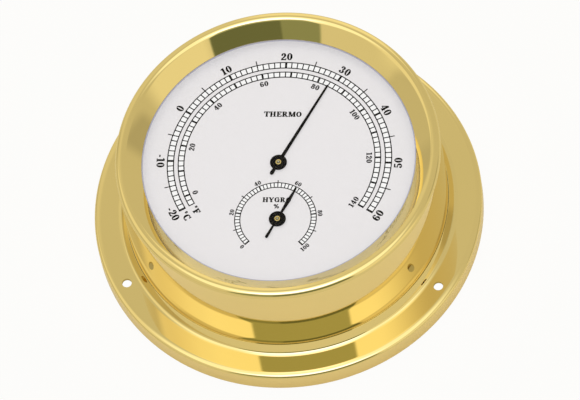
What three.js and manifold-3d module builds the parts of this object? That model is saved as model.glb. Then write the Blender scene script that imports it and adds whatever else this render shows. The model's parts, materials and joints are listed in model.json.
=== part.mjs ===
// Ship's-case dial thermometer and hygrometer in brass. Sizes are in millimetres.
// The origin is the centre of the flange's back face: +Z points out through the dial and
// +Y points to the top of the dial, which is the 20 degree mark of the thermometer.
import * as THREE from "three";
import { mergeVertices } from "three/addons/utils/BufferGeometryUtils.js";
import Module from "manifold-3d";

const wasm = await Module();
wasm.setup();

const DEG = Math.PI / 180;
const GAP = 0.3; // air left between two pieces that touch in the real object
const FINE = 72; // facets round the case
const COARSE = 14; // facets round a screw or a bush

// Case
const SHEET = 1.2; // wall of the pressed flange and of the spun drum
const FLANGE_R = 75;
const FLANGE_TOP = 8.3;
const FLANGE_EDGE = 1.4; // rounding of the flange's outer edge
const COLLAR_TOP = 11.3; // mouth of the collar that slopes up from the flange to the drum
const COLLAR_FOOT_R = 64.1; // where the slope starts
const COLLAR_FOOT = 8.95;
const WELL_R = 63.7; // inside of the flange's turned-down wall
const SHELF_TOP = 4;
const SHELF_R = 56.5; // inner edge of the shelf that the drum stands on
const HOLE_PITCH_R = 69.3;
const HOLE_R = 1.85;
const HOLE_ANGLES = [90, 210, 330];

const DRUM_R = 62.3;
const COLLAR_R = DRUM_R + GAP;
const DRUM_INNER_R = DRUM_R - SHEET;
const DRUM_FOOT_R = 57; // inner edge of the drum's turned-in foot
const DRUM_FOOT_TOP = 6.2;
const RIM_TOP = 50.1;
const RIM_EDGE = 2; // rounding between the drum's wall and its top
const CONE_TOP_R = 57.9;
const CONE_TOP = 49.4;
const WINDOW_R = 52.6; // where the inner cone ends above the glass
const WINDOW_TOP = 44.8;
const WINDOW_UNDER = 44.5;

// Front: glass, spacer and dial
const GLASS_R = 57;
const GLASS_TOP = 44.2;
const GLASS_UNDER = 43;
const RING_OUTER_R = 60.7; // rings that slide inside the drum
const SPACER_R = 53.6;
const DIAL_R = 60.4;
const DIAL_TOP = 41.6;
const DIAL_THICK = 0.8;
const DIAL_UNDER = DIAL_TOP - DIAL_THICK;
const DIAL_HOLE_R = 2.2;
const THERMO_XY = [-0.3, 0];
const HYGRO_XY = [0.8, -24.5];

// Chassis that carries the dial
const CHASSIS_TOP = DIAL_UNDER - GAP;
const CHASSIS_UNDER = 38.3;
const CHASSIS_R = 55;
const LUG_R = 54;
const LUG_TOP = CHASSIS_UNDER - GAP;
const LUG_UNDER = 35;
const LUG_HALF_ANGLE = 4.5;
const LUG_ANGLES = [30, 150, 270];
const LUG_SCREW_R = 57.6;

// Back cover
const COVER_R = 62;
const COVER_TOP = SHELF_TOP - SHEET - GAP;
const COVER_UNDER = COVER_TOP - SHEET;
const COVER_SCREW_R = 59.3;
const COVER_SCREW_ANGLES = [0, 90, 180, 270];
const VENT_R = 2;
const VENT_PITCH_R = 44;
const VENTS = 12;
const GAUZE_HALF_WIDTH = 4.5;
const SLOT_HALF_ANGLE = 14;
const SLOT_HALF_WIDTH = 2.4;

// Screws
const SCREW_R = 1.1;
const SCREW_HOLE_R = SCREW_R + GAP;
const SCREW_HEAD_R = 2.2;
const SCREW_HEAD = 0.7;
const SCREW_SLOT = 0.5;

// Movement, the same for both instruments
const PILLAR_R = 2.5;
const PILLAR_X = 17;
const BRIDGE_TOP = 30;
const BRIDGE_UNDER = 28.8;
const BRIDGE_HALF_LENGTH = 20.5;
const BRIDGE_HALF_WIDTH = 4;
const ARBOR_R = 0.8;
const ARBOR_TIP_R = 0.4;
const ARBOR_FOOT = 28.2;
const ARBOR_SHOULDER = 41.1;
const ARBOR_TOP = 42.85;
const BORE_R = ARBOR_R + GAP;
const BUSH_BOSS_R = 2.8;
const BUSH_SHANK_R = 1.9;
const LEVER_UNDER = 30.8;
const LEVER_TOP = 31.6;
const LEVER_EYE_R = 5.2;
const LEVER_HALF_WIDTH = 1.6;
const LEVER_LENGTH = 24;
const SPIRAL_UNDER = 33;
const SPIRAL_TOP = 36.4;
const SPIRAL_STRIP = 0.45;
const SPIRAL_INNER_R = 3;
const SPIRAL_TURNS = 4;
const STUD_R = 0.7;

// Pointers, measured from the arbor
const HUB_R = 3.25;
const HUB_UNDER = 41.95;
const HUB_TOP = 42.6;
const BLADE_UNDER = 42.1;
const BLADE_TOP = 42.4;
const PIPE_R = 1;
const PIPE_UNDER = DIAL_TOP - 0.1;
const PIPE_TOP = 42.75;

const THERMO = {
  name: "thermo",
  centre: THERMO_XY,
  leverSide: 1,
  spiralR: 11.2,
  spiralColour: 0x8f8a80,
  pointerTurn: -26.4, // anticlockwise turn of the pointer from the top of the dial
  blade: [[0.8, -5.2], [0.58, 3], [0.28, 38], [-0.28, 38], [-0.58, 3], [-0.8, -5.2]],
  tailR: 0.8,
};
const HYGRO = {
  name: "hygro",
  centre: HYGRO_XY,
  leverSide: -1,
  spiralR: 10.4,
  spiralColour: 0xb9a26a,
  pointerTurn: -25.4,
  blade: [[0.62, -8.4], [0.4, 2.5], [0.75, 9.2], [0.08, 14.8], [-0.08, 14.8], [-0.75, 9.2],
    [-0.4, 2.5], [-0.62, -8.4]],
  tailR: 0.62,
};

const BRASS = { color: 0xd2b25f, roughness: 0.12, metalness: 1 };
const PLAIN_BRASS = { color: 0xb9975a, roughness: 0.35, metalness: 1 };
const STEEL = { color: 0xa8abae, roughness: 0.3, metalness: 1 };
const BLACK = { color: 0x101010, roughness: 0.3, metalness: 0.1 };
const GREY = { color: 0xe4e2e2, roughness: 0.6, metalness: 0 };
const RUBBER = { color: 0x26262a, roughness: 0.9, metalness: 0 };
const GAUZE = { color: 0x77736a, roughness: 0.8, metalness: 0.3 };
const GLASS = { color: 0xe8f2f0, roughness: 0.02, metalness: 0 };

const instrument = new THREE.Group();
instrument.name = "thermometer_hygrometer";

function add(name, geometry, look) {
  const mesh = new THREE.Mesh(geometry, new THREE.MeshStandardMaterial(look));
  mesh.name = name;
  instrument.add(mesh);
}

// Turned piece: the outline is [radius, height] pairs, anticlockwise.
function turned(outline, facets) {
  const points = outline.map(([r, z]) => new THREE.Vector2(r, z));
  return new THREE.LatheGeometry(points, facets).rotateX(Math.PI / 2);
}

// Flat ring of rectangular section.
function ring(innerR, outerR, under, top, facets) {
  const outline = [[innerR, under], [outerR, under], [outerR, top], [innerR, top]];
  return turned([...outline, outline[0]], facets);
}

function disc(r, under, top, facets) {
  return turned([[0, under], [r, under], [r, top], [0, top]], facets);
}

// Points on an arc of an outline, from one angle in degrees to another.
function arc([r, z], radius, from, to, steps) {
  const points = [];
  for (let i = 0; i <= steps; i++) {
    const angle = (from + ((to - from) * i) / steps) * DEG;
    points.push([r + radius * Math.cos(angle), z + radius * Math.sin(angle)]);
  }
  return points;
}

function polygon(points) {
  return new THREE.Shape(points.map(([x, y]) => new THREE.Vector2(x, y)));
}

function roundHole(x, y, r) {
  const rim = arc([x, y], r, 0, 360, COARSE).slice(1);
  return new THREE.Path(rim.map(([px, py]) => new THREE.Vector2(px, py)));
}

// Flat plate cut from sheet, lying between two heights.
function plate(shape, under, top, curveSegments = 8) {
  const options = { depth: top - under, bevelEnabled: false, curveSegments };
  return new THREE.ExtrudeGeometry(shape, options).translate(0, 0, under);
}

function toSolid(geometry) {
  const bare = geometry.clone();
  bare.deleteAttribute("normal");
  bare.deleteAttribute("uv");
  const merged = mergeVertices(bare, 1e-4);
  const mesh = new wasm.Mesh({
    numProp: 3,
    vertProperties: new Float32Array(merged.attributes.position.array),
    triVerts: new Uint32Array(merged.index.array),
  });
  mesh.merge();
  return new wasm.Manifold(mesh);
}

function fromSolid(solid) {
  const mesh = solid.getMesh();
  const geometry = new THREE.BufferGeometry();
  geometry.setAttribute("position", new THREE.BufferAttribute(mesh.vertProperties, 3));
  geometry.setIndex(new THREE.BufferAttribute(mesh.triVerts, 1));
  return geometry;
}

function cut(geometry, cutters) {
  let solid = toSolid(geometry);
  for (const cutter of cutters) solid = solid.subtract(toSolid(cutter));
  return fromSolid(solid);
}

function join(a, b) {
  return fromSolid(toSolid(a).add(toSolid(b)));
}

function drill(r, [x, y], under, top) {
  return disc(r, under, top, 12).translate(x, y, 0);
}

function polar(radius, angle) {
  return [radius * Math.cos(angle * DEG), radius * Math.sin(angle * DEG)];
}

// Slotted cheese-head screw standing on its head.
function screw(headUnder, tip) {
  const shoulder = headUnder + SCREW_HEAD;
  const body = turned([[0, headUnder], [SCREW_HEAD_R, headUnder], [SCREW_HEAD_R, shoulder],
    [SCREW_R, shoulder], [SCREW_R, tip], [0, tip]], COARSE);
  const slot = new THREE.BoxGeometry(2 * SCREW_HEAD_R + 1, SCREW_SLOT, SCREW_HEAD);
  return cut(body, [slot.translate(0, 0, headUnder)]);
}

function flangeRing() {
  const under = FLANGE_TOP - SHEET;
  const outline = [
    [FLANGE_R - SHEET, 0],
    [FLANGE_R, 0],
    ...arc([FLANGE_R - FLANGE_EDGE, FLANGE_TOP - FLANGE_EDGE], FLANGE_EDGE, 0, 90, 3),
    [COLLAR_FOOT_R + 1.9, FLANGE_TOP],
    [COLLAR_FOOT_R + 0.5, FLANGE_TOP + 0.22],
    [COLLAR_FOOT_R, COLLAR_FOOT],
    [COLLAR_R + 0.15, COLLAR_TOP],
    [COLLAR_R, COLLAR_TOP],
    [COLLAR_R, FLANGE_TOP],
    [WELL_R, FLANGE_TOP - 0.5],
    [WELL_R, SHELF_TOP],
    [SHELF_R, SHELF_TOP],
    [SHELF_R, SHELF_TOP - SHEET],
    [WELL_R + SHEET, SHELF_TOP - SHEET],
    [WELL_R + SHEET, under],
    [FLANGE_R - 2 * SHEET, under],
    [FLANGE_R - SHEET, under - SHEET],
  ];
  const mountingHoles = HOLE_ANGLES.map((a) => drill(HOLE_R, polar(HOLE_PITCH_R, a), 5, 10));
  const screwHoles = COVER_SCREW_ANGLES.map((a) =>
    drill(SCREW_HOLE_R, polar(COVER_SCREW_R, a), 1, 6));
  return cut(turned([...outline, outline[0]], FINE), [...mountingHoles, ...screwHoles]);
}

function caseDrum() {
  const foot = SHELF_TOP + GAP;
  const outline = [
    [DRUM_FOOT_R, foot],
    [DRUM_R, foot],
    ...arc([DRUM_R - RIM_EDGE, RIM_TOP - RIM_EDGE], RIM_EDGE, 0, 90, 3),
    [CONE_TOP_R + 0.8, RIM_TOP],
    [CONE_TOP_R, CONE_TOP],
    [WINDOW_R, WINDOW_TOP],
    [WINDOW_R, WINDOW_UNDER],
    [WINDOW_R + 1.5, WINDOW_UNDER],
    [CONE_TOP_R + 1.4, RIM_TOP - SHEET],
    [DRUM_INNER_R - 0.9, RIM_TOP - SHEET],
    [DRUM_INNER_R, RIM_TOP - SHEET - 0.9],
    [DRUM_INNER_R, DRUM_FOOT_TOP],
    [DRUM_FOOT_R, DRUM_FOOT_TOP],
  ];
  const screwHoles = COVER_SCREW_ANGLES.map((a) =>
    drill(SCREW_HOLE_R, polar(COVER_SCREW_R, a), 3, 8));
  return cut(turned([...outline, outline[0]], FINE), screwHoles);
}

// Slot that lets a screwdriver reach the end of an adjusting lever.
function leverSlot({ centre, leverSide }) {
  const middle = leverSide * 90;
  const inner = LEVER_LENGTH - SLOT_HALF_WIDTH;
  const outer = LEVER_LENGTH + SLOT_HALF_WIDTH;
  const from = (middle - SLOT_HALF_ANGLE) * DEG;
  const to = (middle + SLOT_HALF_ANGLE) * DEG;
  const slot = new THREE.Path();
  slot.absarc(centre[0], centre[1], outer, from, to, false);
  slot.absarc(centre[0], centre[1], inner, to, from, true);
  slot.closePath();
  return new THREE.Path(slot.getPoints(5));
}

function backCover() {
  const shape = new THREE.Shape().absarc(0, 0, COVER_R, 0, 2 * Math.PI, false);
  for (let i = 0; i < VENTS; i++) {
    const [x, y] = polar(VENT_PITCH_R, (360 * (i + 0.5)) / VENTS);
    shape.holes.push(roundHole(x, y, VENT_R));
  }
  for (const angle of COVER_SCREW_ANGLES) {
    const [x, y] = polar(COVER_SCREW_R, angle);
    shape.holes.push(roundHole(x, y, SCREW_HOLE_R));
  }
  shape.holes.push(leverSlot(THERMO), leverSlot(HYGRO));
  return plate(shape, COVER_UNDER, COVER_TOP, FINE / 2);
}

function dialPlate() {
  const shape = new THREE.Shape().absarc(0, 0, DIAL_R, 0, 2 * Math.PI, false);
  shape.holes.push(roundHole(...THERMO_XY, DIAL_HOLE_R), roundHole(...HYGRO_XY, DIAL_HOLE_R));
  return plate(shape, DIAL_UNDER, DIAL_TOP, FINE / 2);
}

function chassisRing() {
  const body = ring(CHASSIS_R, RING_OUTER_R, CHASSIS_UNDER, CHASSIS_TOP, 48);
  return cut(body, LUG_ANGLES.map((a) =>
    drill(SCREW_HOLE_R, polar(LUG_SCREW_R, a), CHASSIS_UNDER - 1, CHASSIS_TOP + 1)));
}

function caseLug(angle) {
  const shape = new THREE.Shape();
  const from = (angle - LUG_HALF_ANGLE) * DEG;
  const to = (angle + LUG_HALF_ANGLE) * DEG;
  shape.absarc(0, 0, RING_OUTER_R, from, to, false);
  shape.absarc(0, 0, LUG_R, to, from, true);
  shape.closePath();
  shape.holes.push(roundHole(...polar(LUG_SCREW_R, angle), SCREW_HOLE_R));
  return plate(shape, LUG_UNDER, LUG_TOP, 4);
}

function bridge() {
  const shape = new THREE.Shape();
  const end = BRIDGE_HALF_LENGTH - BRIDGE_HALF_WIDTH;
  shape.absarc(end, 0, BRIDGE_HALF_WIDTH, -Math.PI / 2, Math.PI / 2, false);
  shape.absarc(-end, 0, BRIDGE_HALF_WIDTH, Math.PI / 2, 1.5 * Math.PI, false);
  shape.closePath();
  shape.holes.push(roundHole(0, 0, BUSH_SHANK_R + GAP));
  shape.holes.push(roundHole(PILLAR_X, 0, SCREW_HOLE_R), roundHole(-PILLAR_X, 0, SCREW_HOLE_R));
  return plate(shape, BRIDGE_UNDER, BRIDGE_TOP, 6);
}

function pillar() {
  const foot = BRIDGE_TOP + GAP;
  const boreEnd = foot + 5;
  return turned([[0, boreEnd], [SCREW_HOLE_R, boreEnd], [SCREW_HOLE_R, foot], [PILLAR_R, foot],
    [PILLAR_R, DIAL_UNDER - GAP], [0, DIAL_UNDER - GAP]], COARSE);
}

function rearBush() {
  const outline = [[BORE_R, BRIDGE_UNDER - 0.4], [BUSH_SHANK_R, BRIDGE_UNDER - 0.4],
    [BUSH_SHANK_R, BRIDGE_TOP + GAP], [BUSH_BOSS_R, BRIDGE_TOP + GAP],
    [BUSH_BOSS_R, LEVER_TOP + 0.6], [BORE_R, LEVER_TOP + 0.6]];
  return turned([...outline, outline[0]], COARSE);
}

function frontBush() {
  const shoulder = DIAL_UNDER - GAP;
  const outline = [[BORE_R, shoulder - 2.4], [BUSH_BOSS_R, shoulder - 2.4],
    [BUSH_BOSS_R, shoulder], [BUSH_SHANK_R, shoulder], [BUSH_SHANK_R, DIAL_TOP - 0.4],
    [BORE_R, DIAL_TOP - 0.4]];
  return turned([...outline, outline[0]], COARSE);
}

function arbor() {
  return turned([[0, ARBOR_FOOT], [ARBOR_R, ARBOR_FOOT], [ARBOR_R, ARBOR_SHOULDER],
    [ARBOR_TIP_R, ARBOR_SHOULDER], [ARBOR_TIP_R, ARBOR_TOP], [0, ARBOR_TOP]], COARSE);
}

// Adjusting lever: an eye round the rear bush, with an arm pointing along +Y.
function lever() {
  const half = Math.asin(LEVER_HALF_WIDTH / LEVER_EYE_R);
  const shape = new THREE.Shape();
  shape.absarc(0, 0, LEVER_EYE_R, Math.PI / 2 + half, 2.5 * Math.PI - half, false);
  shape.absarc(0, LEVER_LENGTH, LEVER_HALF_WIDTH, 0, Math.PI, false);
  shape.closePath();
  shape.holes.push(roundHole(0, 0, BUSH_BOSS_R + GAP));
  return plate(shape, LEVER_UNDER, LEVER_TOP, 8);
}

// Strip wound outwards in an even spiral, ending on the +Y side beside its stud.
function spiral(outerR) {
  const steps = 26 * SPIRAL_TURNS;
  const inner = [];
  const outer = [];
  for (let i = 0; i <= steps; i++) {
    const part = i / steps;
    const r = SPIRAL_INNER_R + (outerR - SPIRAL_INNER_R) * part;
    const angle = 90 + 360 * SPIRAL_TURNS * (part - 1);
    inner.push(polar(r - SPIRAL_STRIP / 2, angle));
    outer.unshift(polar(r + SPIRAL_STRIP / 2, angle));
  }
  return plate(polygon([...inner, ...outer]), SPIRAL_UNDER, SPIRAL_TOP);
}

// Blade pointing along +Y, with a round tail and a disc at the arbor.
function pointer({ blade, tailR }) {
  const tailY = blade[0][1];
  const tail = arc([0, tailY], tailR, 180, 360, 5).slice(1, -1);
  const flat = plate(polygon([...blade, ...tail]), BLADE_UNDER, BLADE_TOP);
  const whole = join(disc(HUB_R, HUB_UNDER, HUB_TOP, 32), flat);
  return cut(whole, [drill(PIPE_R + GAP, [0, 0], HUB_UNDER - 1, HUB_TOP + 1)]);
}

function addMovement(kind) {
  const { name, centre, leverSide, spiralR } = kind;
  const [x, y] = centre;
  const leverTurn = leverSide > 0 ? 0 : Math.PI;
  const at = (geometry) => geometry.translate(x, y, 0);
  const onLever = (geometry) => at(geometry.rotateZ(leverTurn));
  const studY = spiralR + SPIRAL_STRIP / 2 + GAP + STUD_R;

  for (const [number, side] of [[1, -1], [2, 1]]) {
    const stand = at(pillar()).translate(side * PILLAR_X, 0, 0);
    const fixing = at(screw(BRIDGE_UNDER - GAP - SCREW_HEAD, BRIDGE_TOP + 4));
    add(`${name}_pillar_${number}`, stand, PLAIN_BRASS);
    add(`${name}_bridge_screw_${number}`, fixing.translate(side * PILLAR_X, 0, 0), STEEL);
  }
  add(`${name}_bridge`, at(bridge()), PLAIN_BRASS);
  add(`${name}_front_bush`, at(frontBush()), PLAIN_BRASS);
  add(`${name}_rear_bush`, at(rearBush()), PLAIN_BRASS);
  add(`${name}_arbor`, at(arbor()), STEEL);
  add(`${name}_collet`, at(ring(BORE_R, 2.4, SPIRAL_UNDER, SPIRAL_TOP, COARSE)), PLAIN_BRASS);
  add(`${name}_lever`, onLever(lever()), PLAIN_BRASS);
  const stud = disc(STUD_R, LEVER_TOP + GAP, SPIRAL_TOP, 12).translate(0, studY, 0);
  add(`${name}_stud`, onLever(stud), STEEL);
  const strip = { color: kind.spiralColour, roughness: 0.4, metalness: 1 };
  add(`${name}_spiral`, onLever(spiral(spiralR)), strip);
  add(`${name}_pointer`, at(pointer(kind).rotateZ(kind.pointerTurn * DEG)), BLACK);
  add(`${name}_pointer_pipe`, at(ring(ARBOR_TIP_R + GAP, PIPE_R, PIPE_UNDER, PIPE_TOP, COARSE)),
    BRASS);
}

function addCase() {
  add("flange_ring", flangeRing(), BRASS);
  add("case_drum", caseDrum(), BRASS);
  add("back_cover", backCover(), BRASS);
  const gauze = ring(VENT_PITCH_R - GAUZE_HALF_WIDTH, VENT_PITCH_R + GAUZE_HALF_WIDTH,
    COVER_TOP + GAP, COVER_TOP + 2 * GAP, 36);
  add("vent_gauze", gauze, GAUZE);
  COVER_SCREW_ANGLES.forEach((angle, i) => {
    const [x, y] = polar(COVER_SCREW_R, angle);
    const fixing = screw(COVER_UNDER - GAP - SCREW_HEAD, DRUM_FOOT_TOP + 1.5).rotateZ(angle * DEG);
    add(`cover_screw_${i + 1}`, fixing.translate(x, y, 0), BRASS);
  });
}

function addFront() {
  add("front_glass", disc(GLASS_R, GLASS_UNDER, GLASS_TOP, FINE), GLASS);
  const seal = ring(GLASS_R + GAP, RING_OUTER_R, GLASS_UNDER - 0.1, GLASS_TOP + 0.3, 48);
  add("glass_gasket", seal, RUBBER);
  const spacer = ring(SPACER_R, RING_OUTER_R, DIAL_TOP + GAP, GLASS_UNDER - 0.1 - GAP, 48);
  add("dial_spacer", spacer, GREY);
  add("dial_plate", dialPlate(), GREY);
  add("chassis_ring", chassisRing(), PLAIN_BRASS);
  LUG_ANGLES.forEach((angle, i) => {
    const [x, y] = polar(LUG_SCREW_R, angle);
    const fixing = screw(LUG_UNDER - GAP - SCREW_HEAD, CHASSIS_TOP - 0.5);
    add(`case_lug_${i + 1}`, caseLug(angle), PLAIN_BRASS);
    add(`chassis_screw_${i + 1}`, fixing.translate(x, y, 0), STEEL);
  });
}

addCase();
addFront();
addMovement(THERMO);
addMovement(HYGRO);

export default instrument;
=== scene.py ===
"""Brass ship's-case thermometer and hygrometer: the looks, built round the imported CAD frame.

Lengths are in millimetres inside the outlines and become metres when a mesh is made.
"""
import json
import math

import bmesh
import bpy
import numpy as np
from mathutils import Matrix, Vector


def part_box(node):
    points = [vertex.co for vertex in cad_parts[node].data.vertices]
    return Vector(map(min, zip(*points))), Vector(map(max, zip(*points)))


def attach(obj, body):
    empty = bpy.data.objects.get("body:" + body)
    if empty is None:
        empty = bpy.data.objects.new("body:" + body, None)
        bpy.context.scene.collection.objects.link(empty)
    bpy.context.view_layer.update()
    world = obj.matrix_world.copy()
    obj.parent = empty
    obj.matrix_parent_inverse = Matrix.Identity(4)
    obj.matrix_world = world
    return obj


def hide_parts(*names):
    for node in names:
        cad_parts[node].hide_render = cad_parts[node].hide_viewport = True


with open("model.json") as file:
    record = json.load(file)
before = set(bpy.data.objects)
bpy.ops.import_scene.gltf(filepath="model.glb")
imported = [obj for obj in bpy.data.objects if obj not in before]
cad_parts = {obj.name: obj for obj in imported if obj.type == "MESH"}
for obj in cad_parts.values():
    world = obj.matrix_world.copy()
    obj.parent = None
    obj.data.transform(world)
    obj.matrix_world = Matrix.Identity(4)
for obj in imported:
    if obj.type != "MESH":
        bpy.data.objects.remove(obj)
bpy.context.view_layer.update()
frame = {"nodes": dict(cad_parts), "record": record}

MM = 0.001
TINY = 1e-6  # lengths below this are none
ROUND = 256  # facets round the case
SMALL_ROUND = 64  # facets round a hub or a pipe
ROD_ROUND = 48  # facets round a drilled hole


def node_mm(name):
    """Lowest and highest corner of a CAD node, in millimetres."""
    low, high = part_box(name)
    return np.array(low) / MM, np.array(high) / MM


def centre_mm(name):
    low, high = node_mm(name)
    return (low + high) / 2


def top(name):
    return node_mm(name)[1][2]


def bottom(name):
    return node_mm(name)[0][2]


def radius(name):
    low, high = node_mm(name)
    return (high[0] - low[0]) / 2


# ---------------------------------------------------------------- sizes, in millimetres

SHEET = 1.2  # wall of the flange and the drum
FLANGE_R = radius("flange_ring")
FLANGE_FLAT = 8.3
FLANGE_FLAT_R = (66.0, 72.3)  # the flat part; it bends gently, then sharply, at both sides
FLANGE_EASE = 15.0  # degrees of the gentle bend
FLANGE_EASE_R = (5.0, 6.5)
FLANGE_UNDER_ROUND = 0.6  # rounding under the outer edge
FLANGE_FOOT_ROUND = 0.25
FLANGE_FOOT_BEVEL = 0.2
COLLAR_FILLET = 1.0
COLLAR_SLOPE = 60.0
COLLAR_LIP = 0.15  # flat top of the collar
COLLAR_GAP = 0.08  # between the collar and the drum
WELL_R = 63.7  # the drum stands in a well, on a shelf
WELL_DROP = 0.5
SHELF_TOP = 4.0
SHELF_R = 56.5
HOLE_R = 1.85
HOLE_PITCH_R = 69.3
HOLE_ANGLES = (90, 210, 330)

DRUM_R = radius("case_drum")
DRUM_FOOT = bottom("case_drum")
DRUM_FOOT_R = 57.0
DRUM_FOOT_TOP = 6.2
DRUM_FOOT_ROUND = 0.3
RIM_TOP = top("case_drum")
RIM_EDGE = 2.0  # rounding of the outer corner
RIM_EDGE_END = 65.0  # angle at which the corner turns into the crown
CROWN = 3.0  # rounding of the top
CONE_FOOT_SLOPE = 43.5  # slope of the inner cone at the window, in degrees
WINDOW_R = 52.6
WINDOW_TOP = 44.8
WINDOW_UNDER = 44.5
WINDOW_LEDGE = 1.5  # flat stretch under the window's lip

SEAL_FIT = 0.1  # between the glass and the seal
TONGUE_SHOWS = 0.48  # how far the seal's tongue comes out of the window's edge, where it draws the thin line of shade at the glass edge
TONGUE_GAP = 0.04
SPACER_BORE_R = 53.6

DIAL_TOP = top("dial_plate")
THERMO_ARBOR = centre_mm("thermo_arbor")[:2]
HYGRO_ARBOR = centre_mm("hygro_arbor")[:2]
ARBOR_HOLE_R = 2.2

# ---------------------------------------------------------------- outlines and turned meshes


class Outline:
    """Section of a turned piece, anticlockwise, with the exact normal at both ends of each step."""

    def __init__(self, r, z):
        self.last = (r, z)
        self.steps = []

    def line(self, r, z):
        dr, dz = r - self.last[0], z - self.last[1]
        length = math.hypot(dr, dz)
        if length > TINY:
            normal = (dz / length, -dr / length)
            self.steps.append((self.last, (r, z), normal, normal))
            self.last = (r, z)
        return self

    def arc(self, centre, size, start, stop, steps=10):
        """Round stretch between two angles in degrees; it bulges out when they increase."""
        side = 1 if stop > start else -1
        angles = np.radians(np.linspace(start, stop, steps + 1))
        ring = [(math.cos(a), math.sin(a)) for a in angles]
        points = [(centre[0] + size * c, centre[1] + size * s) for c, s in ring]
        self.line(*points[0])
        for i in range(steps):
            normals = [(side * c, side * s) for c, s in ring[i : i + 2]]
            self.steps.append((points[i], points[i + 1], *normals))
        self.last = points[-1]
        return self

    def close(self):
        return self.line(*self.steps[0][0])


def finish_piece(name, mesh, material, body, replaces=()):
    """Puts a mesh into the scene, on its body and in its material slot."""
    piece = bpy.data.objects.new(name, mesh)
    bpy.context.scene.collection.objects.link(piece)
    mesh.materials.append(material)
    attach(piece, body)
    if replaces:
        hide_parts(*replaces)
    return piece


def turned_mesh(name, outline, facets, centre=(0, 0)):
    """Turns an outline round the upright axis through a centre."""
    points = [step[0] for step in outline.steps]
    closed = math.dist(points[0], outline.last) < TINY
    if not closed:
        points.append(outline.last)
    verts, rings = [], []
    for r, z in points:
        on_axis = abs(r) < TINY
        count = 1 if on_axis else facets
        rings.append((len(verts), on_axis))
        for j in range(count):
            turn = 2 * math.pi * j / facets
            x = centre[0] + r * math.cos(turn)
            y = centre[1] + r * math.sin(turn)
            verts.append((x * MM, y * MM, z * MM))
    faces = []
    for i in range(len(outline.steps)):
        (a, a_axis), (b, b_axis) = rings[i], rings[(i + 1) % len(rings)]
        for j in range(facets):
            k = (j + 1) % facets
            if a_axis:
                faces.append((a, b + k, b + j))
            elif b_axis:
                faces.append((a + j, a + k, b))
            else:
                faces.append((a + j, a + k, b + k, b + j))
    mesh = bpy.data.meshes.new(name)
    mesh.from_pydata(verts, [], faces)
    smooth_turned(mesh, outline, centre)
    return mesh


OFF_OUTLINE = 0.05  # a face whose middle is this far from the outline isn't part of it
OTHER_WAY = 10.0  # added to that distance where a step of the outline faces another way
SAME_WAY = 0.6  # cosine above which two normals face the same way


def smooth_turned(mesh, outline, centre=(0, 0)):
    """Sets the outline's exact normals; faces off the outline, such as drilled walls, stay flat."""
    starts, ends, n0, n1 = (np.array([step[k] for step in outline.steps]) for k in range(4))
    mean_normals = (n0 + n1) / 2
    span = ends - starts
    length2 = (span**2).sum(1)
    verts = np.array([v.co for v in mesh.vertices]) / MM - np.array([*centre, 0])
    turn = np.arctan2(verts[:, 1], verts[:, 0])
    flat = np.stack([np.hypot(verts[:, 0], verts[:, 1]), verts[:, 2]], 1)
    mesh.polygons.foreach_set("use_smooth", [True] * len(mesh.polygons))
    normals = []
    for face in mesh.polygons:
        ids = list(face.vertices)
        middle = flat[ids].mean(0)
        t = np.clip(((middle - starts) * span).sum(1) / length2, 0, 1)
        gap = np.linalg.norm(starts + span * t[:, None] - middle, axis=1)
        own = np.array(face.normal)
        phi = math.atan2(*(verts[ids].mean(0)[:2][::-1]))
        own_flat = np.array([own[0] * math.cos(phi) + own[1] * math.sin(phi), own[2]])
        gap = gap + np.where(mean_normals @ own_flat < SAME_WAY, OTHER_WAY, 0.0)
        best = int(gap.argmin())
        for v in ids:
            if gap[best] > OFF_OUTLINE:
                normals.append(own)
                continue
            share = np.clip(((flat[v] - starts[best]) @ span[best]) / length2[best], 0, 1)
            n = n0[best] * (1 - share) + n1[best] * share
            n = n / np.linalg.norm(n)
            around = phi if flat[v][0] < 1e-4 else turn[v]
            normals.append((n[0] * math.cos(around), n[0] * math.sin(around), n[1]))
    mesh.normals_split_custom_set(normals)


def cut_with(mesh, cutters):
    """Subtracts the cutter meshes from a mesh, and returns the mesh that is left."""
    body = bpy.data.objects.new("cut_body", mesh)
    bpy.context.scene.collection.objects.link(body)
    tools = []
    for cutter in cutters:
        tool = bpy.data.objects.new("cut_tool", cutter)
        bpy.context.scene.collection.objects.link(tool)
        modifier = body.modifiers.new("cut", "BOOLEAN")
        modifier.operation = "DIFFERENCE"
        modifier.solver = "EXACT"
        modifier.object = tool
        tools.append(tool)
    graph = bpy.context.evaluated_depsgraph_get()
    result = bpy.data.meshes.new_from_object(body.evaluated_get(graph))
    for spare in [body, *tools]:
        bpy.data.objects.remove(spare)
    return result


# ---------------------------------------------------------------- materials

MARK_SIZE = 2600.0  # how fine the marks from turning are
MARK_DEPTH = 0.00002  # metres
MARK_SLIP = 0.0006  # how slowly a mark changes along its way round
CLOUD_SIZE = 18.0  # broad changes of tone in a metal
GLOW_MIRRORED = 0.45  # share of a paint's painted glow that lights other things; the camera sees all of it
ROUGH_RANGE = (0.85, 1.15)
GLASS_TINT = (0.99, 0.99, 0.99, 1)
GLASS_MIRROR = (0.004, 0.5)  # share that is mirrored, seen straight on and at a grazing angle


def new_material(name):
    material = bpy.data.materials.new(name)
    material.use_nodes = True
    tree = material.node_tree
    return material, tree, tree.nodes["Principled BSDF"]


def add_node(tree, kind, **inputs):
    """New node with some inputs set; an underscore stands for a blank in an input's name."""
    node = tree.nodes.new(kind)
    for key, value in inputs.items():
        node.inputs[key.replace("_", " ")].default_value = value
    return node


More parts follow.
